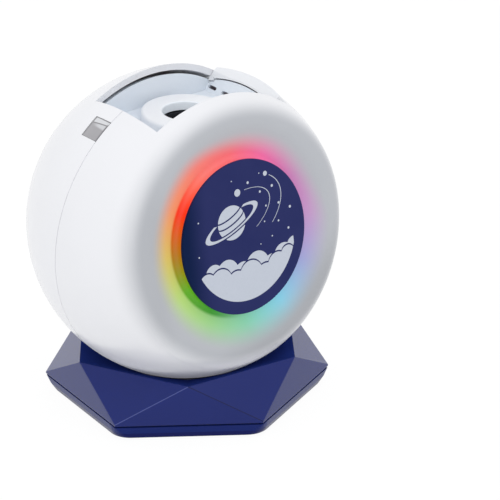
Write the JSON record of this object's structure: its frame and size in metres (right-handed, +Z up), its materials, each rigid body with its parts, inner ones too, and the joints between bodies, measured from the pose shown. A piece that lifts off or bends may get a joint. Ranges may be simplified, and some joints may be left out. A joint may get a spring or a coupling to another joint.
{
  "type": "bedtime story projector",
  "caption": "Ball-shaped bedtime picture projector with a sliding lens shutter, focus ring, glowing dished front ring and navy panel, cradled in a faceted base.",
  "frame": {"origin": "on the table, at the centre of the base, under the centre of the ball", "axes": "+Z up; the front of the ball with its glowing ring faces -Y; +X is the side that the shutter parks on"},
  "size_m": [0.18, 0.1644, 0.1905],
  "materials": {
    "shell_white": "glossy white moulded shell",
    "shell_milky": "milky white diffuser moulding, glossy",
    "smoke_window": "smoke-grey infrared window, polished",
    "tray_grey": "pale blue-grey moulding, fine satin",
    "shutter_white": "glossy white sliding cover",
    "ring_white": "satin-gloss white ring",
    "barrel_black": "black lens barrel with fine grooves",
    "lens_glass": "coated optical glass",
    "engine_black": "black engine housing",
    "lcd_dark": "small picture panel",
    "reflector_silver": "vacuum-metallised reflector",
    "board_white": "white solder-masked lamp board",
    "board_green": "green circuit board",
    "chip_black": "moulded chip packages",
    "connector_cream": "cream plug housings",
    "led_yellow": "phosphor-filled light emitters",
    "heatsink_aluminium": "extruded, matt",
    "fan_black": "black fan mouldings",
    "panel_navy": "deep indigo panel, satin gloss",
    "speaker_steel": "pressed speaker basket",
    "cone_paper": "treated paper cone",
    "magnet_grey": "ferrite magnet",
    "button_blue": "indigo push button, satin",
    "inlet_black": "black power inlet",
    "screw_steel": "zinc-plated steel screws",
    "base_indigo": "deep indigo faceted moulding, gloss",
    "base_tray_indigo": "deep indigo lower moulding, satin",
    "cradle_indigo": "indigo low-friction cup",
    "grip_rubber": "soft rubber ring",
    "foot_rubber": "dark rubber feet",
    "sensor_black": "black sensor package"
  },
  "bodies": {
    "base": {"base_deck": "base_indigo", "base_tray": "base_tray_indigo", "base_feet": "foot_rubber", "base_screws": "screw_steel"},
    "cradle": {"ball_cradle": "cradle_indigo", "cradle_grip_ring": "grip_rubber", "cradle_washer": "screw_steel", "cradle_screw": "screw_steel"},
    "ball": {"front_shell": "shell_milky", "rear_shell": "shell_white", "receiver_window": "smoke_window", "receiver_board": "board_green", "receiver_sensor": "sensor_black", "lens_tray": "tray_grey", "engine_case": "engine_black", "lcd_panel": "lcd_dark", "condenser_lens": "lens_glass", "light_reflector": "reflector_silver", "lamp_board": "board_white", "lamp_led": "led_yellow", "heatsink": "heatsink_aluminium", "fan_frame": "fan_black", "main_board": "board_green", "main_board_chips": "chip_black", "main_board_connectors": "connector_cream", "glow_channel": "board_white", "glow_board": "board_white", "glow_leds": "led_yellow", "disc_panel": "panel_navy", "speaker_basket": "speaker_steel", "speaker_cone": "cone_paper", "speaker_magnet": "magnet_grey", "button_board": "board_green", "button_switches": "chip_black", "dc_jack": "inlet_black", "shell_screws": "screw_steel", "board_screws": "screw_steel", "tray_screws": "screw_steel", "engine_screws": "screw_steel", "fan_screws": "screw_steel"},
    "shutter": {"shutter": "shutter_white"},
    "focus_ring": {"focus_ring": "ring_white"},
    "lens_barrel": {"lens_barrel": "barrel_black", "front_lens": "lens_glass", "lens_retainer": "barrel_black", "rear_lens": "lens_glass"},
    "fan_rotor": {"fan_rotor": "fan_black"},
    "power_button": {"power_button": "button_blue"},
    "volume_up_button": {"volume_up_button": "button_blue"},
    "volume_down_button": {"volume_down_button": "button_blue"}
  },
  "joints": [
    {"name": "ball_swivel", "type": "hinge", "parent": "base", "child": "cradle", "pos_m": [0, 0, 0.01], "axis": [0, 0, 1], "continuous": true},
    {"name": "ball_tilt", "type": "hinge", "parent": "cradle", "child": "ball", "pos_m": [0, 0, 0.1035], "axis": [1, 0, 0], "range_deg": [-30, 20]},
    {"name": "shutter_slide", "type": "hinge", "parent": "ball", "child": "shutter", "pos_m": [0, 0, 0.1035], "axis": [0, 0.9976, 0.0698], "range_deg": [-58.8, 0]},
    {"name": "focus_turn", "type": "hinge", "parent": "ball", "child": "focus_ring", "pos_m": [0, 0, 0.1035], "axis": [0, -0.0698, 0.9976], "range_deg": [0, 150]},
    {"name": "barrel_travel", "type": "slide", "parent": "ball", "child": "lens_barrel", "axis": [0, -0.0698, 0.9976], "range_m": [-0.0027, 0]},
    {"name": "fan_spin", "type": "hinge", "parent": "ball", "child": "fan_rotor", "pos_m": [0, 0, 0.1035], "axis": [0, -0.0698, 0.9976], "continuous": true},
    {"name": "power_button_press", "type": "slide", "parent": "ball", "child": "power_button", "axis": [0, -0.9976, -0.0698], "range_m": [0, 0.0005], "stiffness_N_per_m": 400},
    {"name": "volume_up_button_press", "type": "slide", "parent": "ball", "child": "volume_up_button", "axis": [0, -0.9976, -0.0698], "range_m": [0, 0.0005], "stiffness_N_per_m": 400},
    {"name": "volume_down_button_press", "type": "slide", "parent": "ball", "child": "volume_down_button", "axis": [0, -0.9976, -0.0698], "range_m": [0, 0.0005], "stiffness_N_per_m": 400}
  ],
  "couplings": [
    {"joint": "barrel_travel", "follows": "focus_turn", "m_per_rad": -0.001}
  ]
}
